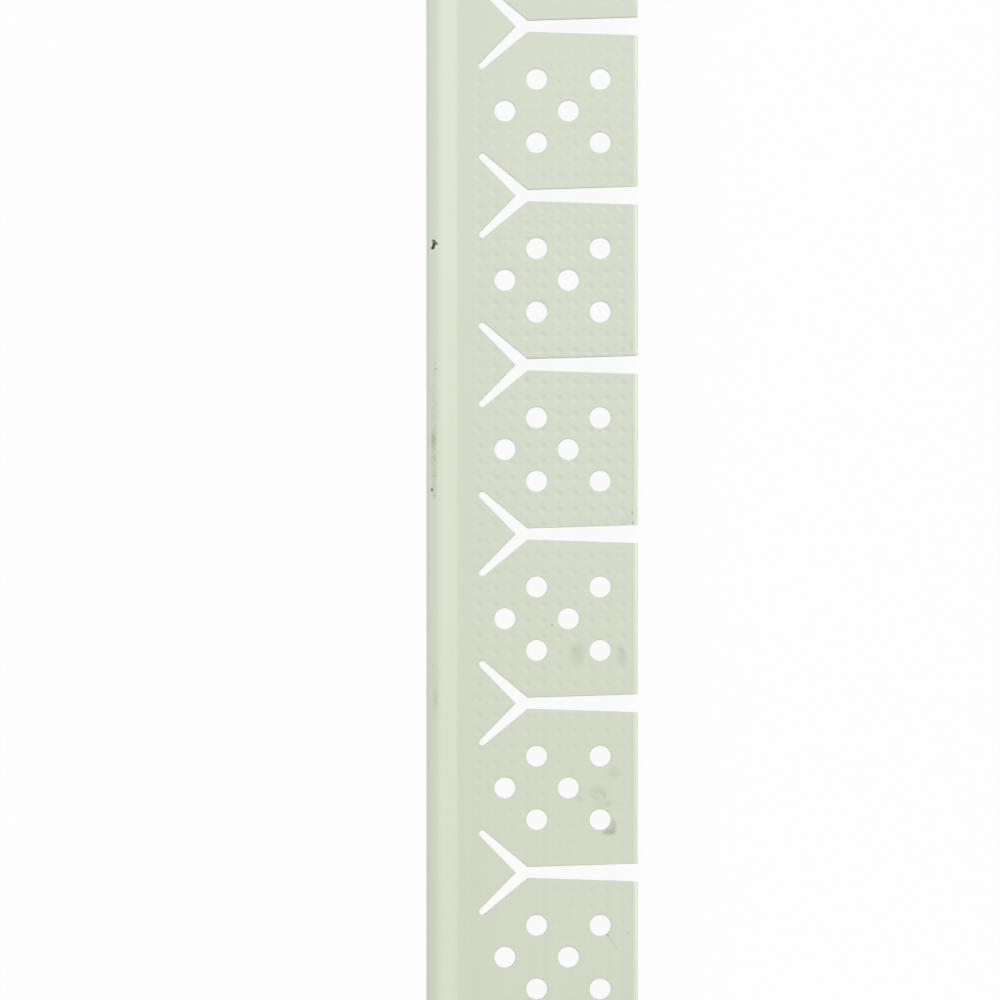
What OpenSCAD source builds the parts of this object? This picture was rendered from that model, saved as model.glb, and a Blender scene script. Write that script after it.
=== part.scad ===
// Drywall corner bead: one extruded and punched strip for an outside wall corner.
// Units are millimetres. The strip lies nose up on both free edges, its length along X.

/* [Strip] */
// length of the strip as sold
strip_length = 2438.4; // [304.8:25.4:3048]
// width of each leg, from the outermost edge of the nose to the free edge
leg_width = 31.75; // [30:0.05:40]
// thickness of the extruded wall
wall = 1; // [0.6:0.05:1.2]
// radius of the eased outer corner along each free edge
edge_radius = 0.5; // [0.2:0.05:0.55]

/* [Nose] */
// radius of the outside of the nose
nose_radius = 1.7; // [1.6:0.05:2]
// height of the nose above the outer face of each leg
ground = 1.5875; // [1.3:0.0125:1.6]
// slope of the ramp between the nose and the leg's face, in degrees
ramp_angle = 37; // [30:1:40]
// radius of the hollow curve at the foot of the ramp
foot_radius = 1.5; // [0.8:0.1:1.8]

/* [Perforation] */
// diameter of the round nail and compound holes
hole_diameter = 3.175; // [2:0.025:3.5]
// step between neighbouring hole columns and rows, which are staggered
hole_step = 4.7625; // [4.2:0.0125:4.8]
// distance of the first hole column from the outermost edge of the nose
first_column = 11.8; // [11.4:0.1:12.2]

/* [Slots] */
// distance between the slots that part the tabs
slot_pitch = 25.4; // [24.6:0.1:30]
// width of the slot's stem where it forks
fork_width = 1.7; // [1:0.05:2]
// width of the slot's stem at the free edge
mouth_width = 2.7; // [2:0.05:3.2]
// distance of the fork's shoulders from the outermost edge of the nose
fork_at = 15.2; // [14.8:0.1:15.8]
// distance of the point between the arms from the outermost edge of the nose
crotch_at = 13.4; // [12.8:0.1:13.8]
// diameter of the round end of each arm
arm_tip_diameter = 1; // [0.6:0.05:1.2]
// distance of the arm ends' centres from the outermost edge of the nose
arm_tip_at = 8.4; // [8:0.1:9]
// spread of each arm end from the slot's centre line
arm_spread = 5.85; // [5:0.05:6.3]

/* [Hidden] */
$fn = 48;
// how far a cutter runs past the face it cuts
past = 1;
// slope of the legs to the floor
lean = 45;
// small angle at which each arc runs into the straight face beside it, so that the two cross cleanly
joint = 4;
// share of a radius at which such a face passes the arc's centre
set_in = cos(joint);
// flat reach of each leg, from the corner where the planes of the outer faces meet
leg_reach = leg_width - ground;
// height of that corner above the floor
corner_height = (leg_reach + wall) * sin(lean);
// centre of the nose in a leg's own section: along the leg, then out from its outer face
nose_centre = [nose_radius, ground - nose_radius];
// direction square to the ramp's face
ramp_out = [sin(ramp_angle), cos(ramp_angle)];
// distance of the ramp's face from the origin of that section
ramp_offset = nose_centre * ramp_out + nose_radius * set_in;
// centre of the hollow curve at the ramp's foot
foot_height = foot_radius * set_in;
foot_along = (ramp_offset + foot_height * (1 - cos(ramp_angle))) / sin(ramp_angle);
foot_centre = [foot_along, foot_height];
// centre of the eased corner at the free edge
edge_centre = [leg_width - edge_radius * set_in, -edge_radius * set_in];
// whole tabs along the strip, and the stretch they fill
tab_count = floor(strip_length / slot_pitch);
tabs_length = tab_count * slot_pitch;

// Section across the strip

// point of a leg's own section, placed right (side 1) or left (side -1) of the corner
function placed(p, side) = [
  side * ((p.x - ground) * cos(lean) + p.y * sin(lean)),
  p.y * cos(lean) - (p.x - ground) * sin(lean)
];

// ramp beside the nose with the hollow curve at its foot, set back from the outside by inset
module ramp_fill(inset, side) {
  on_nose = nose_centre + (nose_radius - inset) * set_in * ramp_out;
  on_ramp = foot_centre - (foot_radius + inset) * set_in * ramp_out;
  on_face = [foot_along, -inset];
  deep = [ground + wall + past, -wall - past];
  outline = [nose_centre, deep, on_face, on_ramp, on_nose];
  order = side > 0 ? [0 : 4] : [4 : -1 : 0];
  difference() {
    polygon([for (i = order) placed(outline[i], side)]);
    translate(placed(foot_centre, side))
      circle(r = foot_radius + inset);
  }
}

// all that lies inside the corner's surface, set back from the outside by inset
module corner_fill(inset, reach) {
  translate([0, -inset / sin(lean)])
    rotate(-lean - 90)
      square(reach);
  ramp_fill(inset, 1);
  ramp_fill(inset, -1);
  translate(placed(nose_centre, 1))
    circle(r = nose_radius - inset);
}

// what the eased corner takes off a leg's free edge
module edge_cut(side) {
  far = edge_radius + past;
  outline = [for (step = [[0, 0], [far, 0], [far, far], [0, far]]) edge_centre + step];
  order = side > 0 ? [0 : 3] : [3 : -1 : 0];
  difference() {
    polygon([for (i = order) placed(outline[i], side)]);
    translate(placed(edge_centre, side))
      circle(r = edge_radius);
  }
}

// the bead's bent wall: the outside less the inside and the eased corners
module bead_section() {
  difference() {
    corner_fill(0, leg_reach);
    corner_fill(wall, leg_reach + past);
    edge_cut(1);
    edge_cut(-1);
  }
}

// Punched pattern

// six staggered holes in one tab: two in the middle row and two in each row beside it
module tab_holes() {
  for (row = [-1 : 1], pair = [0, 1]) {
    column = abs(row) + 2 * pair;
    translate([row * hole_step, first_column + column * hole_step, -wall - past])
      cylinder(d = hole_diameter, h = wall + 2 * past);
  }
}

// end of the line from a point that just passes a circle, on the left or the right of its centre
function touch_point(from, centre, radius, turn) =
  let (
    span = norm(centre - from),
    heading = atan2(centre.y - from.y, centre.x - from.x) + turn * asin(radius / span)
  )
  from + sqrt(span * span - radius * radius) * [cos(heading), sin(heading)];

// Y-shaped slot between two tabs, open at the free edge
module slot() {
  tip = [arm_spread, arm_tip_at];
  crotch = [0, crotch_at];
  shoulder = [fork_width / 2, fork_at];
  mouth = [mouth_width / 2, leg_width];
  end = mouth + (mouth - shoulder) * past / (leg_width - fork_at);
  inner = touch_point(crotch, tip, arm_tip_diameter / 2 * set_in, -1);
  outer = touch_point(shoulder, tip, arm_tip_diameter / 2 * set_in, 1);
  side = [inner, tip, outer, shoulder, end];
  other_side = [for (i = [len(side) - 1 : -1 : 0]) [-side[i].x, side[i].y]];
  translate([0, 0, -wall - past])
    linear_extrude(wall + 2 * past) {
      polygon(concat([crotch], side, other_side));
      for (x = [-arm_spread, arm_spread])
        translate([x, arm_tip_at])
          circle(d = arm_tip_diameter);
    }
}

// place a leg's own frame: X along the strip, Y down the leg from the nose, Z out of its face
module leg_frame() {
  translate([0, 0, corner_height])
    rotate([-lean, 0, 0])
      translate([0, -ground, 0])
        children();
}

// the holes of every tab along one leg
module leg_holes() {
  leg_frame()
    for (tab = [0 : tab_count - 1])
      translate([(tab + 0.5) * slot_pitch - tabs_length / 2, 0, 0])
        tab_holes();
}

// the slots between the tabs of one leg
module leg_slots() {
  leg_frame()
    for (tab = [1 : tab_count - 1])
      translate([tab * slot_pitch - tabs_length / 2, 0, 0])
        slot();
}

// The part

// whole strip: the slotted leg lies towards -Y, the plain perforated leg towards +Y
module corner_bead() {
  color([0.67, 0.71, 0.60])
    difference() {
      translate([0, 0, corner_height])
        rotate([90, 0, 90])
          linear_extrude(strip_length, center = true)
            bead_section();
      leg_holes();
      mirror([0, 1, 0]) {
        leg_holes();
        leg_slots();
      }
    }
}

corner_bead();
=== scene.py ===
"""Looks of a plastic corner bead: one punched strip that lies nose up on its two free edges."""

import logging
import math
from collections.abc import Sequence
from dataclasses import dataclass, field
from enum import Enum

import bmesh
import bpy
from mathutils import Matrix, Vector


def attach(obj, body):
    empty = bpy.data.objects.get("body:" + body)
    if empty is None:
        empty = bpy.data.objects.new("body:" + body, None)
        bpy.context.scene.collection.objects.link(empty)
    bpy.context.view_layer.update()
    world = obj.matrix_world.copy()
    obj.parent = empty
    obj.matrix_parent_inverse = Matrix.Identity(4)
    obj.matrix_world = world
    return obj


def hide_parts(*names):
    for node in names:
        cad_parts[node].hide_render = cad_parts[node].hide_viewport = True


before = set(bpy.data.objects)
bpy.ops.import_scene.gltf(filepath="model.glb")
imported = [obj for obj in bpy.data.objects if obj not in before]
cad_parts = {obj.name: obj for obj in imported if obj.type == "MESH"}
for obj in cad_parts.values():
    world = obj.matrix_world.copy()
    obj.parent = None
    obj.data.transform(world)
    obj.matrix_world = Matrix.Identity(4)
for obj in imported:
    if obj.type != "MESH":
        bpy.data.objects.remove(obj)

LOG = logging.getLogger("corner_bead")
MM = 0.001
NODE = "corner_bead"
BODY = "root"

Socket = bpy.types.NodeSocket
Value = float | Socket
Colour = tuple[float, float, float, float]

WHITE: Colour = (1.0, 1.0, 1.0, 1.0)


class Leg(Enum):
    """The two legs, by the side of the nose on which each one lies."""

    SLOTTED = -1
    PLAIN = 1


class Tone(Enum):
    """Colours of the marks that handling left on the strip."""

    SPECK = (0.03, 0.022, 0.008)
    RUST = (0.19, 0.12, 0.045)
    GRIME = (0.29, 0.25, 0.16)
    SCUFF = (0.25, 0.26, 0.19)
    DUST = (0.6, 0.6, 0.59)


class MarkShape(Enum):
    """Ways in which a mark's colour fills its outline."""

    SOFT = "soft"
    CRISP = "crisp"
    SPECKLED = "speckled"
    RING = "ring"


# Sizes


@dataclass(frozen=True)
class StripSizes:
    """Sizes of the strip in metres, those of the solid that it stands for."""

    length: float = 2438.4 * MM
    leg_width: float = 31.75 * MM
    wall: float = 1.0 * MM
    edge_radius: float = 0.5 * MM
    nose_radius: float = 1.7 * MM
    ground: float = 1.5875 * MM
    ramp_angle: float = math.radians(37)
    foot_radius: float = 1.5 * MM
    lean: float = math.radians(45)
    arc_step: float = math.radians(5)
    edge_step: float = math.radians(15)
    stretches: int = 45

    @property
    def corner_height(self) -> float:
        """Height above the floor at which the planes of the two outer faces meet."""
        return (self.leg_width - self.ground + self.wall) * math.sin(self.lean)

    def place(self, down: float, out: float, leg: Leg) -> tuple[float, float]:
        """Turns a place on a leg into a place across the strip.

        Args:
            down: distance down the leg from the outermost edge of the nose.
            out: height above the leg's outer face.
            leg: the leg that is meant.

        Returns:
            Y and Z in the strip's own frame.
        """
        reach = down - self.ground
        y = leg.value * (reach * math.cos(self.lean) + out * math.sin(self.lean))
        z = self.corner_height - reach * math.sin(self.lean) + out * math.cos(self.lean)
        return y, z

    def skin(self, inset: float) -> list[tuple[float, float]]:
        """Traces half of the section's skin, from the foot of the ramp to the top of the nose.

        Args:
            inset: depth of the skin below the outside.

        Returns:
            Places as (down, out) on one leg.
        """
        nose = Vector((self.nose_radius, self.ground - self.nose_radius))
        square_out = Vector((math.sin(self.ramp_angle), math.cos(self.ramp_angle)))
        ramp_offset = nose.dot(square_out) + self.nose_radius
        foot_rise = self.foot_radius * (1 - math.cos(self.ramp_angle))
        foot = Vector(((ramp_offset + foot_rise) / math.sin(self.ramp_angle), self.foot_radius))
        level = math.radians(270)
        up_ramp = level - self.ramp_angle
        ramp_turn = math.radians(90) - self.ramp_angle
        crest = math.radians(180) - self.lean
        return [
            *arc(foot, self.foot_radius + inset, level, up_ramp, self.arc_step),
            *arc(nose, self.nose_radius - inset, ramp_turn, crest, self.arc_step),
        ]

    def eased_edge(self) -> list[tuple[float, float]]:
        """Traces the eased outer corner of the free edge, as (down, out) on one leg."""
        centre = Vector((self.leg_width - self.edge_radius, -self.edge_radius))
        return arc(centre, self.edge_radius, 0.0, math.radians(90), self.edge_step)

    def section(self) -> list[tuple[float, float]]:
        """Traces the whole bent wall once round.

        Returns:
            Places as (Y, Z) in the strip's own frame.
        """
        outside = [*self.eased_edge(), *self.skin(0.0)]
        inside = [(self.leg_width, -self.wall), *self.skin(self.wall)]
        right_out = [self.place(*p, Leg.PLAIN) for p in outside]
        left_out = [self.place(*p, Leg.SLOTTED) for p in reversed(outside[:-1])]
        left_in = [self.place(*p, Leg.SLOTTED) for p in inside]
        right_in = [self.place(*p, Leg.PLAIN) for p in reversed(inside[:-1])]
        return right_out + left_out + left_in + right_in


@dataclass(frozen=True)
class PunchSizes:
    """Sizes of the punched pattern in metres, those of the solid that it stands for."""

    tabs: int = 96
    pitch: float = 25.4 * MM
    hole_radius: float = 3.175 / 2 * MM
    hole_step: float = 4.7625 * MM
    first_column: float = 11.8 * MM
    fork_width: float = 1.7 * MM
    mouth_width: float = 2.7 * MM
    fork_at: float = 15.2 * MM
    crotch_at: float = 13.4 * MM
    tip_radius: float = 0.5 * MM
    tip_at: float = 8.4 * MM
    spread: float = 5.85 * MM
    rim: float = 0.1 * MM
    past: float = 1.0 * MM
    hole_sides: int = 22
    tip_step: float = math.radians(30)

    def hole(self) -> list[Vector]:
        """Traces a hole punch, seen from the front.

        Returns:
            Points around its middle.
        """
        turn = 2 * math.pi / self.hole_sides
        return [
            Vector((math.cos(i * turn), math.sin(i * turn))) * self.hole_radius
            for i in range(self.hole_sides)
        ]

    def slot(self, strip: StripSizes) -> list[Vector]:
        """Traces the Y-shaped slot punch, seen from the front.

        Args:
            strip: sizes of the strip, for its free edge and its corner.

        Returns:
            Points as (along the strip, down the leg from the corner).
        """
        crotch = Vector((0, self.crotch_at))
        shoulder = Vector((self.fork_width / 2, self.fork_at))
        mouth = Vector((self.mouth_width / 2, strip.leg_width))
        end = mouth + (mouth - shoulder) * self.past / (strip.leg_width - self.fork_at)
        tip = Vector((self.spread, self.tip_at))
        start = touch_angle(crotch, tip, self.tip_radius, -1)
        stop = touch_angle(shoulder, tip, self.tip_radius, 1)
        round_end = arc(tip, self.tip_radius, start, stop, self.tip_step)
        right = [*(Vector(p) for p in round_end), shoulder, end]
        left = [Vector((-p.x, p.y)) for p in reversed(right)]
        to_corner = Vector((0, strip.ground))
        return [p - to_corner for p in [crotch, *right, *left]]


def arc(
    centre: Vector, radius: float, start: float, stop: float, step: float
) -> list[tuple[float, float]]:
    """Traces an arc in even steps.

    Args:
        centre: middle of the circle.
        radius: its radius.
        start: first angle.
        stop: last angle.
        step: largest step between points.

    Returns:
        Points from the first angle to the last.
    """
    count = max(2, math.ceil(abs(stop - start) / step))
    angles = [start + (stop - start) * i / count for i in range(count + 1)]
    return [(centre.x + radius * math.cos(a), centre.y + radius * math.sin(a)) for a in angles]


def touch_angle(point: Vector, centre: Vector, radius: float, turn: int) -> float:
    """Finds where a line from a point just touches a circle.

    Args:
        point: where the line starts.
        centre: middle of the circle.
        radius: its radius.
        turn: 1 or -1, the side of the centre on which the line passes.

    Returns:
        The angle of the touching point, seen from the centre.
    """
    away = point - centre
    back = math.atan2(away.y, away.x)
    return back - turn * math.acos(radius / away.length) + (2 * math.pi if turn > 0 else 0)


def widened(outline: Sequence[Vector], width: float) -> list[Vector]:
    """Sets a closed outline out by a small width, square to its sides.

    Args:
        outline: points in order, turning left.
        width: how far each side moves out.

    Returns:
        As many points as the outline has.
    """
    out = []
    for i, point in enumerate(outline):
        before = (point - outline[i - 1]).normalized()
        after = (outline[(i + 1) % len(outline)] - point).normalized()
        square_before = Vector((before.y, -before.x))
        square_after = Vector((after.y, -after.x))
        middle = (square_before + square_after).normalized()
        out.append(point + middle * width / middle.dot(square_after))
    return out


# Meshes


def stacked(name: str, rings: Sequence[Sequence[Vector]]) -> bpy.types.Object:
    """Makes a closed mesh from rings of points, one above the other.

    Args:
        name: the new object's name.
        rings: like rings, from one end to the other.

    Returns:
        The object, linked to the scene.
    """
    shape = bmesh.new()
    loops = [[shape.verts.new(p) for p in ring] for ring in rings]
    for low, high in zip(loops, loops[1:]):
        for i, corner in enumerate(low):
            shape.faces.new((low[i - 1], corner, high[i], high[i - 1]))
    shape.faces.new(list(reversed(loops[0])))
    shape.faces.new(loops[-1])
    bmesh.ops.recalc_face_normals(shape, faces=shape.faces)
    mesh = bpy.data.meshes.new(name)
    shape.to_mesh(mesh)
    shape.free()
    piece = bpy.data.objects.new(name, mesh)
    bpy.context.scene.collection.objects.link(piece)
    return piece


class Wiring:
    """Adds nodes to a tree and joins their sockets."""

    # places of the share, the two colours and the result among a Mix node's sockets
    MIX_PLACES = (0, 6, 7)
    MIX_RESULT = 2

    def __init__(self, tree: bpy.types.NodeTree) -> None:
        """Takes the tree that is to be filled."""
        self.tree = tree

    def node(
        self, kind: str, inputs: dict[str | int, object] | None = None, **settings: object
    ) -> bpy.types.Node:
        """Adds a node.

        Args:
            kind: Blender's name for the node type.
            inputs: a value or a socket for each input, by its name or place.
            settings: the node's own options.

        Returns:
            The new node.
        """
        made = self.tree.nodes.new(kind)
        for name, value in settings.items():
            setattr(made, name, value)
        for name, value in (inputs or {}).items():
            self.feed(made.inputs[name], value)
        return made

    def feed(self, socket: Socket, value: object) -> None:
        """Links a socket to an input, or sets the input to a plain value.

        Args:
            socket: the input.
            value: what it is given.
        """
        if isinstance(value, Socket):
            self.tree.links.new(value, socket)
        else:
            socket.default_value = value

    def math(self, operation: str, *values: Value) -> Socket:
        """Adds a Math node.

        Args:
            operation: what it does.
            values: its inputs, as numbers or sockets.

        Returns:
            Its result.
        """
        made = self.node("ShaderNodeMath", operation=operation)
        for socket, value in zip(made.inputs, values):
            self.feed(socket, value)
        return made.outputs[0]

    def vector_math(self, operation: str, *values: object) -> Socket:
        """Adds a Vector Math node.

        Args:
            operation: what it does.
            values: its inputs, as vectors or sockets.

        Returns:
            Its result, a number for a length and a vector otherwise.
        """
        made = self.node("ShaderNodeVectorMath", dict(enumerate(values)), operation=operation)
        return made.outputs["Value" if operation == "LENGTH" else "Vector"]

    def mix(self, share: Value, first: object, second: object) -> Socket:
        """Adds a Mix node for colours.

        Args:
            share: how much of the second colour there is, from 0 to 1.
            first: the first colour.
            second: the second colour.

        Returns:
            The mixed colour.
        """
        made = self.node("ShaderNodeMix", data_type="RGBA", clamp_factor=True)
        for place, value in zip(self.MIX_PLACES, (share, first, second)):
            self.feed(made.inputs[place], value)
        return made.outputs[self.MIX_RESULT]

    def blended(self, share: Value, first: Socket, second: Socket) -> Socket:
        """Adds a Mix Shader node.

        Args:
            share: how much of the second shader there is, from 0 to 1.
            first: the first shader.
            second: the second shader.

        Returns:
            The blended shader.
        """
        return self.node("ShaderNodeMixShader", {0: share, 1: first, 2: second}).outputs[0]

    def split(self, vector: Socket) -> tuple[Socket, Socket, Socket]:
        """Adds a Separate XYZ node and gives its three values."""
        x, y, z = self.node("ShaderNodeSeparateXYZ", {"Vector": vector}).outputs
        return x, y, z

    def vector(self, x: Value, y: Value, z: Value) -> Socket:
        """Adds a Combine XYZ node and gives its vector."""
        return self.node("ShaderNodeCombineXYZ", {"X": x, "Y": y, "Z": z}).outputs[0]

    def ramp(
        self, value: Value, low: float, high: float, start: float = 0.0, stop: float = 1.0
    ) -> Socket:
        """Eases a value from one range to another.

        Args:
            value: what is eased.
            low: where the ramp starts.
            high: where it ends.
            start: the result at the start.
            stop: the result at the end.

        Returns:
            The eased value.
        """
        sockets = {"Value": value, "From Min": low, "From Max": high, "To Min": start, "To Max": stop}
        made = self.node("ShaderNodeMapRange", sockets, interpolation_type="SMOOTHSTEP")
        return made.outputs["Result"]

    def wave(self, where: Socket, length: float, start: float) -> Socket:
        """Gives a slow wave along the strip.

        Args:
            where: places in the strip's frame.
            length: length of a whole wave.
            start: a place where the wave rises through its middle.

        Returns:
            The wave, from 0 to 1.
        """
        x, _, _ = self.split(where)
        turn = self.math("MULTIPLY", self.math("SUBTRACT", x, start), 2 * math.pi / length)
        return self.math("MULTIPLY_ADD", self.math("SINE", turn), 0.5, 0.5)

    def noise(self, where: Socket, scale: float, detail: float = 2.0) -> Socket:
        """Adds a noise texture and gives its value, about 0.5."""
        sockets = {"Vector": where, "Scale": scale, "Detail": detail}
        return self.node("ShaderNodeTexNoise", sockets).outputs["Fac"]


@dataclass
class PunchingTree:
    """Geometry Nodes that punch the holes and slots of both legs."""

    strip: StripSizes
    sharp_above: float = math.radians(50)

    def build(self) -> bpy.types.NodeTree:
        """Builds the tree.

        Returns:
            A tree that turns a plain strip into a punched one.
        """
        tree = bpy.data.node_groups.new("punched_strip", "GeometryNodeTree")
        sockets = {
            "Strip": "NodeSocketGeometry",
            "Hole Punch": "NodeSocketObject",
            "Slot Punch": "NodeSocketObject",
            "Tabs": "NodeSocketInt",
            "Pitch": "NodeSocketFloat",
            "Hole Step": "NodeSocketFloat",
            "First Column": "NodeSocketFloat",
            "Corner Height": "NodeSocketFloat",
            "Finish": "NodeSocketMaterial",
        }
        for name, kind in sockets.items():
            tree.interface.new_socket(name, in_out="INPUT", socket_type=kind)
        tree.interface.new_socket("Punched Strip", in_out="OUTPUT", socket_type="NodeSocketGeometry")
        wiring = Wiring(tree)
        given = wiring.node("NodeGroupInput").outputs
        holes = self.holes(wiring, given)
        slots = self.slots(wiring, given)
        plain_leg = self.on_leg(wiring, given, [holes])
        slotted_leg = self.on_leg(wiring, given, [holes, slots])
        sockets = {"Geometry": slotted_leg, "Rotation": (0, 0, math.pi)}
        turned = wiring.node("GeometryNodeTransform", sockets).outputs[0]
        cutters = self.joined(wiring, [plain_leg, turned])
        loose = wiring.node("GeometryNodeRealizeInstances", {"Geometry": cutters}).outputs[0]
        cut = wiring.node("GeometryNodeMeshBoolean", operation="DIFFERENCE", solver="MANIFOLD")
        wiring.feed(cut.inputs["Mesh 1"], given["Strip"])
        wiring.feed(cut.inputs["Mesh 2"], loose)
        shaded = self.shaded(wiring, cut.outputs["Mesh"])
        whole = wiring.node("GeometryNodeRealizeInstances", {"Geometry": shaded}).outputs[0]
        dressed = wiring.node("GeometryNodeSetMaterial", {"Geometry": whole, "Material": given["Finish"]})
        wiring.node("NodeGroupOutput", {"Punched Strip": dressed.outputs[0]})
        return tree

    def joined(self, wiring: Wiring, parts: Sequence[Socket]) -> Socket:
        """Joins several geometries into one.

        Args:
            wiring: where the nodes go.
            parts: the geometries.

        Returns:
            All of them together.
        """
        join = wiring.node("GeometryNodeJoinGeometry")
        for part in parts:
            wiring.feed(join.inputs[0], part)
        return join.outputs[0]

    def row(self, wiring: Wiring, count: Socket, pitch: Socket) -> Socket:
        """Lays evenly spaced points along the strip, centred on its middle.

        Args:
            wiring: where the nodes go.
            count: number of points.
            pitch: distance between them.

        Returns:
            The points.
        """
        half = wiring.math("MULTIPLY", wiring.math("SUBTRACT", count, 1.0), -0.5)
        start = wiring.vector(wiring.math("MULTIPLY", half, pitch), 0.0, 0.0)
        offset = wiring.vector(pitch, 0.0, 0.0)
        sockets = {"Count": count, "Start Location": start, "Offset": offset}
        return wiring.node("GeometryNodeMeshLine", sockets).outputs[0]

    def placed(self, wiring: Wiring, points: Socket, shape: Socket) -> Socket:
        """Puts a copy of a shape on each point."""
        sockets = {"Points": points, "Instance": shape}
        return wiring.node("GeometryNodeInstanceOnPoints", sockets).outputs[0]

    def object_shape(self, wiring: Wiring, source: Socket) -> Socket:
        """Gives the shape of an object that an input names."""
        return wiring.node("GeometryNodeObjectInfo", {"Object": source}).outputs["Geometry"]

    def holes(self, wiring: Wiring, given: bpy.types.NodeOutputs) -> Socket:
        """Lays out the hole punches of one leg: every other point of a grid on each tab.

        Args:
            wiring: where the nodes go.
            given: the tree's inputs.

        Returns:
            The punches, flat, with the corner at Y 0.
        """
        step, rows, columns = given["Hole Step"], 3, 4
        across = wiring.math("MULTIPLY", step, rows - 1.0)
        down = wiring.math("MULTIPLY", step, columns - 1.0)
        sockets = {"Size X": across, "Size Y": down, "Vertices X": rows, "Vertices Y": columns}
        grid = wiring.node("GeometryNodeMeshGrid", sockets).outputs["Mesh"]
        index = wiring.node("GeometryNodeInputIndex").outputs[0]
        row = wiring.math("FLOOR", wiring.math("DIVIDE", index, float(columns)))
        odd = wiring.math("MODULO", wiring.math("ADD", row, index), 2.0)
        even = wiring.math("SUBTRACT", 1.0, odd)
        staggered = wiring.node("GeometryNodeDeleteGeometry", {"Geometry": grid, "Selection": even})
        middle = wiring.math("ADD", given["First Column"], wiring.math("MULTIPLY", down, 0.5))
        sockets = {"Geometry": staggered.outputs[0], "Translation": wiring.vector(0.0, middle, 0.0)}
        tab = wiring.node("GeometryNodeTransform", sockets).outputs[0]
        tabs = self.row(wiring, given["Tabs"], given["Pitch"])
        copies = self.placed(wiring, tabs, tab)
        points = wiring.node("GeometryNodeRealizeInstances", {"Geometry": copies}).outputs[0]
        return self.placed(wiring, points, self.object_shape(wiring, given["Hole Punch"]))

    def slots(self, wiring: Wiring, given: bpy.types.NodeOutputs) -> Socket:
        """Lays out the slot punches of one leg, one between each two tabs.

        Args:
            wiring: where the nodes go.
            given: the tree's inputs.

        Returns:
            The punches, flat, with the corner at Y 0.
        """
        between = wiring.math("SUBTRACT", given["Tabs"], 1.0)
        points = self.row(wiring, between, given["Pitch"])
        return self.placed(wiring, points, self.object_shape(wiring, given["Slot Punch"]))

    def on_leg(self, wiring: Wiring, given: bpy.types.NodeOutputs, flat: Sequence[Socket]) -> Socket:
        """Leans flat punches onto the plain leg.

        Args:
            wiring: where the nodes go.
            given: the tree's inputs.
            flat: the punches, with the corner at Y 0.

        Returns:
            The punches in the strip's frame.
        """
        lift = wiring.vector(0.0, 0.0, given["Corner Height"])
        sockets = {"Translation": lift, "Rotation": (-self.strip.lean, 0, 0)}
        leant = wiring.node("GeometryNodeTransform", sockets)
        wiring.feed(leant.inputs["Geometry"], self.joined(wiring, flat))
        return leant.outputs[0]

    def shaded(self, wiring: Wiring, shape: Socket) -> Socket:
        """Shades a shape smooth, apart from its sharp edges.

        Args:
            wiring: where the nodes go.
            shape: the punched strip.

        Returns:
            The same shape with its shading set.
        """
        smooth = wiring.node("GeometryNodeSetShadeSmooth", {"Geometry": shape, "Shade Smooth": True})
        angle = wiring.node("GeometryNodeInputMeshEdgeAngle").outputs["Unsigned Angle"]
        sharp = wiring.math("GREATER_THAN", angle, self.sharp_above)
        sockets = {"Geometry": smooth.outputs[0], "Selection": sharp, "Shade Smooth": False}
        return wiring.node("GeometryNodeSetShadeSmooth", sockets, domain="EDGE").outputs[0]


# The photograph's frame


@dataclass(frozen=True)
class PhotoFrame:
    """Where the photograph's pixels fall on the slotted leg."""

    pixels: int = 1000
    pixels_per_metre: float = 6665.0
    nose_edge_column: float = 426.4
    middle_slot_row: float = 534.0

    @property
    def width(self) -> float:
        """Width of the photograph at the leg."""
        return self.pixels / self.pixels_per_metre

    def along(self, row: float) -> float:
        """Turns a pixel row into a place along the strip."""
        return (self.middle_slot_row - row) / self.pixels_per_metre

    def down(self, column: float) -> float:
        """Turns a pixel column into a distance from the outermost edge of the nose."""
        return (column - self.nose_edge_column) / self.pixels_per_metre


@dataclass(frozen=True)
class Mark:
    """A mark that handling left, by its middle, half sizes and turn in the photograph's pixels."""

    name: str
    column: float
    row: float
    half_width: float
    half_height: float
    tone: Tone
    strength: float
    shape: MarkShape = MarkShape.SOFT
    turn: float = 0.0
    on_nose: bool = False


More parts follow.
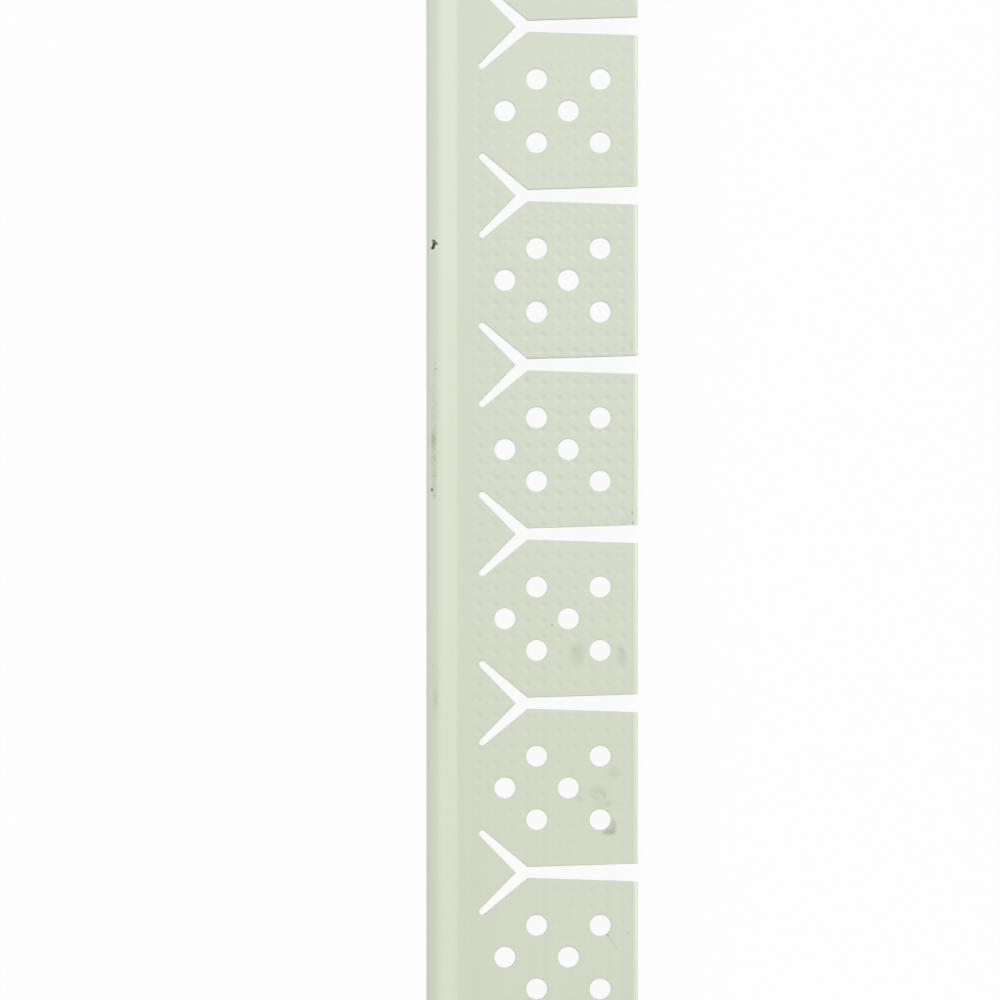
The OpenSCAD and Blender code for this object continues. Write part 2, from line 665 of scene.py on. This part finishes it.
MARKS = (
    Mark("nose_speck_head", 434.4, 242.2, 2.0, 2.5, Tone.RUST, 0.95, MarkShape.CRISP, -15, on_nose=True),
    Mark("nose_speck_body", 433.7, 246.2, 1.8, 3.5, Tone.SPECK, 1.0, MarkShape.CRISP, 14, on_nose=True),
    Mark("nose_speck_foot", 432.7, 248.4, 1.8, 1.4, Tone.SPECK, 0.95, MarkShape.CRISP, 20, on_nose=True),
    Mark("nose_speck_side", 436.0, 244.0, 2.4, 1.4, Tone.SPECK, 0.85, MarkShape.CRISP, -10, on_nose=True),
    Mark("nose_speck_corner", 433.0, 240.6, 1.2, 1.1, Tone.SPECK, 0.8, MarkShape.CRISP, on_nose=True),
    Mark("nose_scuff_long", 434.2, 428, 4.8, 78, Tone.GRIME, 0.23, MarkShape.SPECKLED, on_nose=True),
    Mark("nose_scuff_dark", 433.7, 439, 3.6, 10, Tone.GRIME, 0.4, on_nose=True),
    Mark("nose_scuff_tail", 433.9, 463, 3.5, 32, Tone.GRIME, 0.22, MarkShape.SPECKLED, on_nose=True),
    Mark("nose_scuff_end", 434.6, 490, 4.2, 11, Tone.GRIME, 0.17, on_nose=True),
    Mark("nose_scuff_gap", 435.2, 474.5, 4.0, 5, Tone.GRIME, 0.13, on_nose=True),
    Mark("nose_dot_low", 432, 490, 1.4, 1.6, Tone.SPECK, 0.75, MarkShape.CRISP, on_nose=True),
    Mark("nose_dot_beside", 434.7, 496, 1.3, 1.5, Tone.SPECK, 0.22, MarkShape.CRISP, on_nose=True),
    Mark("nose_dot_upper", 435.2, 363.5, 1.4, 1.4, Tone.SPECK, 0.16, MarkShape.CRISP, on_nose=True),
    Mark("nose_dot_lower", 435.7, 369, 1.4, 1.4, Tone.SPECK, 0.26, MarkShape.CRISP, on_nose=True),
    Mark("nose_scuff_faint", 435.5, 690, 4.8, 58, Tone.GRIME, 0.12, MarkShape.SPECKLED, on_nose=True),
    Mark("nose_scuff_spot", 436, 698, 3.4, 11, Tone.GRIME, 0.19, on_nose=True),
    Mark("leg_smudge_left", 577, 653, 10, 15.5, Tone.SCUFF, 0.2),
    Mark("leg_smudge_upper", 620, 649, 4.5, 8, Tone.SCUFF, 0.15),
    Mark("leg_smudge_lower", 622, 657.5, 6.5, 10, Tone.SCUFF, 0.19),
    Mark("leg_patch", 597.5, 791, 10.5, 7, Tone.SCUFF, 0.12),
    Mark("leg_patch_rim", 597.3, 794.3, 10, 6.1, Tone.SCUFF, 0.11, MarkShape.RING, 12),
    Mark("leg_patch_top", 601.5, 791, 3.8, 3.0, Tone.SCUFF, 0.1),
    Mark("leg_patch_foot", 594.6, 797.2, 5.4, 2.0, Tone.SCUFF, 0.15, turn=36),
    Mark("leg_patch_dark", 604.4, 795.6, 3.2, 3.0, Tone.SCUFF, 0.22),
    Mark("leg_smear", 579.5, 799.5, 6, 4.5, Tone.SCUFF, 0.11),
    Mark("leg_shade", 615, 773, 8, 8, Tone.SCUFF, 0.13),
    Mark("leg_streak", 605, 803.5, 17, 4, Tone.SCUFF, 0.09),
    Mark("leg_streak_dark", 607.6, 803.6, 3.6, 3.8, Tone.SCUFF, 0.11),
    Mark("leg_dash", 572.5, 770.5, 5, 1.8, Tone.SCUFF, 0.1),
    Mark("hole_smudge_wide", 610, 827, 9, 10, Tone.SCUFF, 0.16),
    Mark("hole_smudge_side", 613.8, 826.5, 3.2, 9.5, Tone.SCUFF, 0.48, MarkShape.SPECKLED),
    Mark("hole_smudge_foot", 608.5, 832, 8, 3.8, Tone.SCUFF, 0.8, MarkShape.SPECKLED),
    Mark("leg_dot_middle", 552, 625, 1.2, 1.2, Tone.SCUFF, 0.5, MarkShape.CRISP),
    Mark("leg_dot_low", 628, 933, 1.3, 1.3, Tone.SCUFF, 0.22, MarkShape.CRISP),
    Mark("leg_scratch", 613.3, 943.3, 9.5, 1.2, Tone.SCUFF, 0.14, MarkShape.CRISP, 57),
    Mark("leg_scratch_start", 607.6, 935.2, 1.5, 1.3, Tone.SCUFF, 0.35, MarkShape.CRISP),
    Mark("edge_line", 633, 465, 0.9, 66, Tone.SCUFF, 0.2, MarkShape.SPECKLED),
    Mark("edge_dot_top", 631.5, 177.5, 2, 3.6, Tone.SCUFF, 0.13),
    Mark("edge_smear", 631.5, 346, 2.4, 7, Tone.SCUFF, 0.13),
    Mark("edge_dust", 628.5, 517, 4, 8, Tone.DUST, 0.35),
    Mark("edge_dot_upper", 632.5, 513, 1.8, 3.2, Tone.SCUFF, 0.4),
    Mark("edge_dot_lower", 633, 523, 1.8, 2.8, Tone.SCUFF, 0.45),
    Mark("fork_shade", 527, 378, 2.2, 4.0, Tone.SCUFF, 0.15),
)


# Finishes


@dataclass(frozen=True)
class Dimples:
    """Dimples that an embossing roll pressed into the outer faces of both legs."""

    wall: float
    pitch: float = 25.4 * 3 / 32 * MM
    radius: float = 0.85 * MM
    depth: float = 0.073 * MM
    first: float = 7.9 * MM
    from_nose: float = 7.0 * MM
    to_edge: float = 31.0 * MM
    roll_turn: float = 220 * MM
    roll_start: float = -36 * MM
    patch_scale: float = 70.0
    patch_range: tuple[float, float] = (0.3, 0.7)
    patch_swing: float = 0.28
    press_range: tuple[float, float] = (0.0, 1.3)
    least_depth: float = 0.05

    def pits(self, wiring: Wiring, where: Socket, leg: Socket) -> Socket:
        """Draws the dimples, deeper and shallower by turns as the roll pressed them.

        Args:
            wiring: where the nodes go.
            where: places in the strip's frame.
            leg: places on each leg.

        Returns:
            Depth from 0 on the face to 1 in the middle of a deep dimple.
        """
        pressed = wiring.wave(where, self.roll_turn, self.roll_start)
        patches = wiring.noise(where, self.patch_scale)
        patchy = wiring.ramp(patches, *self.patch_range, -self.patch_swing, self.patch_swing)
        press = wiring.math("ADD", pressed, patchy)
        depth = wiring.ramp(press, *self.press_range, self.least_depth, 1.0)
        pit = wiring.math("MULTIPLY", self.grid(wiring, leg), self.band(wiring, leg))
        return wiring.math("MULTIPLY", pit, depth)

    def grid(self, wiring: Wiring, leg: Socket) -> Socket:
        """Draws a round pit in each cell of a square grid.

        Args:
            wiring: where the nodes go.
            leg: places on each leg.

        Returns:
            Depth from 0 between the pits to 1 in their middles.
        """
        sockets = {
            "Vector": leg,
            "Location": (0, self.first - self.pitch / 2, 0),
            "Scale": (self.pitch, self.pitch, 1),
        }
        cells = wiring.node("ShaderNodeMapping", sockets, vector_type="TEXTURE").outputs[0]
        from_middle = wiring.vector_math("SUBTRACT", wiring.vector_math("FRACTION", cells), (0.5, 0.5, 0))
        reach = wiring.vector_math("LENGTH", wiring.vector_math("MULTIPLY", from_middle, (1, 1, 0)))
        return wiring.ramp(reach, 0.0, self.radius / self.pitch, 1.0, 0.0)

    def band(self, wiring: Wiring, leg: Socket) -> Socket:
        """Picks the part of each leg's outer face that the roll reached.

        Args:
            wiring: where the nodes go.
            leg: places on each leg.

        Returns:
            1 on that part and 0 elsewhere.
        """
        _, down, out = wiring.split(leg)
        past_nose = wiring.math("GREATER_THAN", down, self.from_nose)
        short_of_edge = wiring.math("LESS_THAN", down, self.to_edge)
        outside = wiring.math("GREATER_THAN", out, -self.wall / 2)
        return wiring.math("MULTIPLY", wiring.math("MULTIPLY", past_nose, short_of_edge), outside)


@dataclass(frozen=True)
class HandlingMarks:
    """Dirt and scuffs that handling left on the nose and the slotted leg."""

    photo: PhotoFrame
    marks: tuple[Mark, ...] = MARKS
    nose_out: float = 1.35 * MM
    depth: float = 0.7 * MM
    ragged: float = 0.22 * MM
    ragged_scale: float = 1800.0
    speck_scale: float = 3600.0
    speck_range: tuple[float, float] = (0.42, 0.6)
    least_speck: float = 0.25
    detail: float = 3.0
    ring_middle: float = 0.75
    ring_slope: float = 3.0
    crisp_core: float = 0.7
    soft_core: float = 0.2
    outer_reach: float = 1.15

    def over(self, wiring: Wiring, leg: Socket, colour: Socket) -> Socket:
        """Adds the marks to a colour.

        Args:
            wiring: where the nodes go.
            leg: places on the slotted leg.
            colour: the clean plastic's colour.

        Returns:
            The marked colour.
        """
        rough = self.roughened(wiring, leg)
        noise = wiring.noise(leg, self.speck_scale, self.detail)
        specks = wiring.ramp(noise, *self.speck_range, self.least_speck, 1.0)
        for mark in self.marks:
            mask = self.mask(wiring, mark, rough)
            if mark.shape in (MarkShape.SPECKLED, MarkShape.RING):
                mask = wiring.math("MULTIPLY", mask, specks)
            colour = wiring.mix(mask, colour, (*mark.tone.value, 1.0))
        return colour

    def roughened(self, wiring: Wiring, leg: Socket) -> Socket:
        """Shifts places a little to and fro, so that the marks come out ragged.

        Args:
            wiring: where the nodes go.
            leg: places on the slotted leg.

        Returns:
            The shifted places.
        """
        sockets = {"Vector": leg, "Scale": self.ragged_scale, "Detail": self.detail}
        noise = wiring.node("ShaderNodeTexNoise", sockets).outputs["Color"]
        shift = wiring.vector_math("SUBTRACT", noise, (0.5, 0.5, 0.5))
        return wiring.vector_math("ADD", leg, wiring.vector_math("MULTIPLY", shift, (self.ragged,) * 3))

    def mask(self, wiring: Wiring, mark: Mark, leg: Socket) -> Socket:
        """Draws one mark as an oval or a ring.

        Args:
            wiring: where the nodes go.
            mark: the mark.
            leg: places on the slotted leg, made ragged.

        Returns:
            Its strength at each place.
        """
        scale = self.photo.pixels_per_metre
        out = self.nose_out if mark.on_nose else 0.0
        sockets = {
            "Vector": leg,
            "Location": (self.photo.along(mark.row), self.photo.down(mark.column), out),
            "Rotation": (0, 0, math.radians(mark.turn)),
            "Scale": (mark.half_height / scale, mark.half_width / scale, self.depth),
        }
        oval = wiring.node("ShaderNodeMapping", sockets, vector_type="TEXTURE", label=mark.name).outputs[0]
        reach = wiring.vector_math("LENGTH", oval)
        if mark.shape is MarkShape.RING:
            from_ring = wiring.math("ABSOLUTE", wiring.math("SUBTRACT", reach, self.ring_middle))
            reach = wiring.math("MULTIPLY", from_ring, self.ring_slope)
        core = self.crisp_core if mark.shape is MarkShape.CRISP else self.soft_core
        return wiring.ramp(reach, core, self.outer_reach, mark.strength, 0.0)


@dataclass(frozen=True)
class PvcFinish:
    """Pale sage plastic with faint draw lines and a painted highlight along the eased free edges, under
    its dimples and marks.
    """

    strip: StripSizes
    dimples: Dimples
    marks: HandlingMarks
    sage: Colour = (0.672, 0.719, 0.604, 1.0)
    # straw is the plastic's darker, yellower tone in its clouds, and also the painted shade at the dark
    # end of the falloff wave
    straw_and_shade: Colour = (0.632, 0.658, 0.538, 1.0)
    painted_falloff_length: float = 450 * MM
    painted_falloff_start: float = -22.5 * MM
    cloud_scale: float = 40.0
    cloud_share: float = 0.45
    draw_lines: tuple[float, float, float] = (9.0, 1100.0, 1100.0)
    grain_scale: float = 1800.0
    grain_height: float = 0.003 * MM
    gloss_range: tuple[float, float] = (0.7, 1.3)
    roughness_low: float = 0.42
    roughness_high: float = 0.58
    # painted highlight: a lighter colour along the eased free edges, standing in for the light that the
    # rounded corner catches
    painted_edge_highlight: Colour = (0.78, 0.81, 0.70, 1.0)
    painted_highlight_width: float = 0.75 * MM
    painted_highlight_fade: float = 0.25 * MM
    painted_highlight_share: float = 0.6

    def build(self) -> bpy.types.Material:
        """Builds the material.

        Returns:
            The finished plastic.
        """
        material = bpy.data.materials.new("sage_pvc")
        material.use_nodes = True
        wiring = Wiring(material.node_tree)
        shader = material.node_tree.nodes["Principled BSDF"]
        where = wiring.node("ShaderNodeTexCoord").outputs["Object"]
        mirrored = self.on_leg(wiring, where, both=True)
        slotted = self.on_leg(wiring, where, both=False)
        drawn = wiring.node("ShaderNodeMapping", {"Vector": mirrored, "Scale": self.draw_lines}).outputs[0]
        lines = wiring.noise(drawn, 1.0)
        # the painted edge highlight goes onto the plastic's colour here
        clean = self.with_painted_edge_highlight(wiring, mirrored, self.tinted(wiring, where, lines))
        wiring.feed(shader.inputs["Base Color"], self.marks.over(wiring, slotted, clean))
        fine = wiring.math("ADD", lines, wiring.noise(where, self.grain_scale))
        gloss = wiring.ramp(fine, *self.gloss_range, self.roughness_low, self.roughness_high)
        wiring.feed(shader.inputs["Roughness"], gloss)
        pits = self.dimples.pits(wiring, where, mirrored)
        sockets = {"Height": pits, "Distance": self.dimples.depth}
        relief = wiring.node("ShaderNodeBump", sockets, invert=True).outputs[0]
        sockets = {"Height": fine, "Distance": self.grain_height, "Normal": relief}
        wiring.feed(shader.inputs["Normal"], wiring.node("ShaderNodeBump", sockets).outputs[0])
        return material

    def on_leg(self, wiring: Wiring, where: Socket, both: bool) -> Socket:
        """Gives places as along the strip, down the leg and out from its face.

        Args:
            wiring: where the nodes go.
            where: places in the strip's frame.
            both: True for each leg's own places, False for the slotted leg's.

        Returns:
            The places.
        """
        x, y, z = wiring.split(where)
        side = wiring.math("ABSOLUTE", y) if both else wiring.math("MULTIPLY", y, float(Leg.SLOTTED.value))
        corner = self.strip.corner_height * math.sin(self.strip.lean)
        level = wiring.math("MULTIPLY", wiring.math("SUBTRACT", side, z), math.cos(self.strip.lean))
        rise = wiring.math("MULTIPLY", wiring.math("ADD", side, z), math.sin(self.strip.lean))
        down = wiring.math("ADD", level, corner + self.strip.ground)
        out = wiring.math("SUBTRACT", rise, corner)
        return wiring.vector(x, down, out)

    def tinted(self, wiring: Wiring, where: Socket, lines: Socket) -> Socket:
        """Mixes the plastic's colour: random clouds and draw lines, over a slow wave along the strip
        towards the darker, yellower straw, which is painted shade standing in for light falling off.

        Args:
            wiring: where the nodes go.
            where: places in the strip's frame.
            lines: the draw lines.

        Returns:
            The unmarked plastic's colour, painted shade included.
        """
        # painted shade: a slow wave along the strip, darker towards one end of the camera's view, standing
        # in for light falling off
        painted_falloff_wave = wiring.wave(where, self.painted_falloff_length, self.painted_falloff_start)
        cloud = wiring.math("SUBTRACT", wiring.noise(where, self.cloud_scale), 0.5)
        uneven = wiring.math("ADD", cloud, wiring.math("SUBTRACT", lines, 0.5))
        share = wiring.math("MULTIPLY_ADD", uneven, self.cloud_share, painted_falloff_wave)
        return wiring.mix(share, self.straw_and_shade, self.sage)

    def with_painted_edge_highlight(self, wiring: Wiring, leg: Socket, colour: Socket) -> Socket:
        """Paints a highlight along the eased free edges, a lighter colour where the rounded corner catches
        the light.

        Args:
            wiring: where the nodes go.
            leg: places on each leg.
            colour: the plastic's colour.

        Returns:
            The colour with the painted edge highlight.
        """
        _, down, _ = wiring.split(leg)
        inner = self.strip.leg_width - self.painted_highlight_width
        # painted highlight, lighter towards the eased edge
        share = wiring.ramp(down, inner, inner + self.painted_highlight_fade, 0.0, self.painted_highlight_share)
        return wiring.mix(share, colour, self.painted_edge_highlight)


@dataclass(frozen=True)
class FloorFinish:
    """White floor that shows bright to the camera and still takes a soft shadow."""

    colour: Colour = (0.92, 0.92, 0.92, 1.0)
    shadow_share: float = 0.06

    def build(self) -> bpy.types.Material:
        """Builds the material.

        Returns:
            The floor's material.
        """
        material = bpy.data.materials.new("white_floor")
        material.use_nodes = True
        tree = material.node_tree
        tree.nodes.clear()
        wiring = Wiring(tree)
        lit = wiring.node("ShaderNodeBsdfDiffuse", {"Color": self.colour}).outputs[0]
        bright = wiring.node("ShaderNodeEmission", {"Color": WHITE, "Strength": 1.0}).outputs[0]
        share = wiring.math("MULTIPLY", seen_rays(wiring), 1.0 - self.shadow_share)
        wiring.node("ShaderNodeOutputMaterial", {"Surface": wiring.blended(share, lit, bright)})
        return material


def seen_rays(wiring: Wiring) -> Socket:
    """Picks the rays that show the background: the camera's, reflected and through glass.

    Args:
        wiring: where the nodes go.

    Returns:
        1 on those rays and 0 on the others.
    """
    rays = wiring.node("ShaderNodeLightPath").outputs
    mirrored = wiring.math("MAXIMUM", rays["Is Glossy Ray"], rays["Is Transmission Ray"])
    return wiring.math("MAXIMUM", rays["Is Camera Ray"], mirrored)


# The part


@dataclass
class CornerBead:
    """The strip itself: one extruded section, punched on both legs."""

    strip: StripSizes
    punch: PunchSizes
    finish: PvcFinish
    piece: bpy.types.Object | None = field(default=None, init=False)

    def build(self) -> None:
        """Extrudes the strip and punches it."""
        blank = self.blank()
        hole = self.punch_tool("hole_punch", self.punch.hole())
        slot = self.punch_tool("slot_punch", self.punch.slot(self.strip))
        values = {
            "Hole Punch": hole,
            "Slot Punch": slot,
            "Tabs": self.punch.tabs,
            "Pitch": self.punch.pitch,
            "Hole Step": self.punch.hole_step,
            "First Column": self.punch.first_column - self.strip.ground,
            "Corner Height": self.strip.corner_height,
            "Finish": self.finish.build(),
        }
        self.set_tree(blank, PunchingTree(self.strip).build(), values)
        normals = blank.modifiers.new("soft_rims", "WEIGHTED_NORMAL")
        normals.keep_sharp = True
        self.piece = self.made_plain(blank, "punched_strip")
        for tool in (blank, hole, slot):
            bpy.data.objects.remove(tool)

    def blank(self) -> bpy.types.Object:
        """Extrudes the section along the strip, in stretches short enough to shade exactly.

        Returns:
            The strip before it is punched.
        """
        section = self.strip.section()
        count = self.strip.stretches
        places = [self.strip.length * (i / count - 0.5) for i in range(count + 1)]
        rings = [[Vector((x, y, z)) for y, z in section] for x in places]
        return stacked("blank_strip", rings)

    def punch_tool(self, name: str, outline: Sequence[Vector]) -> bpy.types.Object:
        """Makes a punch that rounds the outer rim a little as it goes through.

        Args:
            name: the tool's name.
            outline: the hole that it makes, seen from the front.

        Returns:
            The tool.
        """
        rim = self.punch.rim
        levels = (
            (-self.strip.wall - self.punch.past, 0.0),
            (-rim, 0.0),
            (rim, 2 * rim),
        )
        rings = [[Vector((*p, z)) for p in widened(outline, width)] for z, width in levels]
        return stacked(name, rings)

    def set_tree(
        self, target: bpy.types.Object, tree: bpy.types.NodeTree, values: dict[str, object]
    ) -> None:
        """Puts a tree on an object and sets its inputs.

        Args:
            target: the object.
            tree: the tree.
            values: a value for each named input.
        """
        modifier = target.modifiers.new(tree.name, "NODES")
        modifier.node_group = tree
        for socket in tree.interface.items_tree:
            if socket.name in values:
                modifier[socket.identifier] = values[socket.name]

    def made_plain(self, source: bpy.types.Object, name: str) -> bpy.types.Object:
        """Makes a plain mesh object of what an object's modifiers give.

        Args:
            source: the object with modifiers.
            name: the new object's name.

        Returns:
            The new object.
        """
        graph = bpy.context.evaluated_depsgraph_get()
        mesh = bpy.data.meshes.new_from_object(source.evaluated_get(graph), depsgraph=graph)
        mesh.name = name
        made = bpy.data.objects.new(name, mesh)
        bpy.context.scene.collection.objects.link(made)
        return made

    def dress(self) -> None:
        """Puts the strip in the place of its solid."""
        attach(self.piece, BODY)
        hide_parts(NODE)
        triangles = sum(len(p.vertices) - 2 for p in self.piece.data.polygons)
        LOG.info("%s: %d triangles", self.piece.name, triangles)


# Camera, floor and light


@dataclass(frozen=True)
class Lamp:
    """A broad soft light far away, by the direction in which it lies."""

    name: str
    towards: tuple[float, float, float]
    strength: float
    angle: float

    def build(self) -> None:
        """Hangs the lamp."""
        data = bpy.data.lights.new(self.name, "SUN")
        data.energy = self.strength
        data.angle = self.angle
        lamp = bpy.data.objects.new(self.name, data)
        lamp.rotation_euler = Vector(self.towards).to_track_quat("Z", "Y").to_euler()
        bpy.context.scene.collection.objects.link(lamp)


@dataclass
class Studio:
    """Plain white studio with the camera square to the slotted leg, as in the photograph."""

    strip: StripSizes
    photo: PhotoFrame
    floor_size: float = 12.0
    camera_distance: float = 1.5
    clip_end: float = 100.0
    sensor: float = 36.0
    lamps: tuple[Lamp, ...] = (
        Lamp("key", (0.7, -1.0, 0.25), 1.78, math.radians(20)),
        Lamp("rim", (0.3, 1.0, 1.0), 0.92, math.radians(40)),
    )
    ambient: float = 0.52

    @property
    def facing(self) -> Matrix:
        """Turn of the camera.

        Returns:
            The picture's axes as columns: right, up and towards the camera.
        """
        out = Vector((0, Leg.SLOTTED.value * math.sin(self.strip.lean), math.cos(self.strip.lean)))
        up = Vector((1, 0, 0))
        return Matrix((up.cross(out), up, out)).transposed()

    def build(self) -> None:
        """Makes the camera, the floor and the light."""
        self.camera()
        self.floor()
        for lamp in self.lamps:
            lamp.build()
        self.world()

    def camera(self) -> None:
        """Aims a long lens at the photograph's middle on the slotted leg."""
        middle = self.photo.pixels / 2
        y, z = self.strip.place(self.photo.down(middle), 0.0, Leg.SLOTTED)
        target = Vector((self.photo.along(middle), y, z))
        data = bpy.data.cameras.new("camera")
        data.sensor_fit = "HORIZONTAL"
        data.sensor_width = self.sensor
        data.lens = self.sensor * self.camera_distance / self.photo.width
        data.clip_end = self.clip_end
        camera = bpy.data.objects.new("camera", data)
        back = self.facing.col[2] * self.camera_distance
        camera.matrix_world = Matrix.Translation(target + back) @ self.facing.to_4x4()
        bpy.context.scene.collection.objects.link(camera)
        bpy.context.scene.camera = camera

    def floor(self) -> None:
        """Lays a white floor under the strip."""
        half = self.floor_size / 2
        mesh = bpy.data.meshes.new("floor")
        corners = [(-half, -half, 0), (half, -half, 0), (half, half, 0), (-half, half, 0)]
        mesh.from_pydata(corners, [], [(0, 1, 2, 3)])
        mesh.materials.append(FloorFinish().build())
        floor = bpy.data.objects.new("floor", mesh)
        bpy.context.scene.collection.objects.link(floor)

    def world(self) -> None:
        """Fills the room with even light, white where it is seen."""
        world = bpy.data.worlds.new("studio")
        world.use_nodes = True
        bpy.context.scene.world = world
        tree = world.node_tree
        tree.nodes.clear()
        wiring = Wiring(tree)
        fill, white = (
            wiring.node("ShaderNodeBackground", {"Color": WHITE, "Strength": strength}).outputs[0]
            for strength in (self.ambient, 1.0)
        )
        wiring.node("ShaderNodeOutputWorld", {"Surface": wiring.blended(seen_rays(wiring), fill, white)})


def main() -> None:
    """Builds the studio and the strip and logs the strip's triangle count."""
    logging.basicConfig(level=logging.INFO, format="%(name)s: %(message)s")
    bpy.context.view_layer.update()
    strip, punch = StripSizes(), PunchSizes()
    photo = PhotoFrame()
    Studio(strip, photo).build()
    bpy.context.scene.view_settings.view_transform = "Standard"
    finish = PvcFinish(strip, Dimples(strip.wall), HandlingMarks(photo))
    bead = CornerBead(strip, punch, finish)
    bead.build()
    bead.dress()


if __name__ == "__main__":
    main()
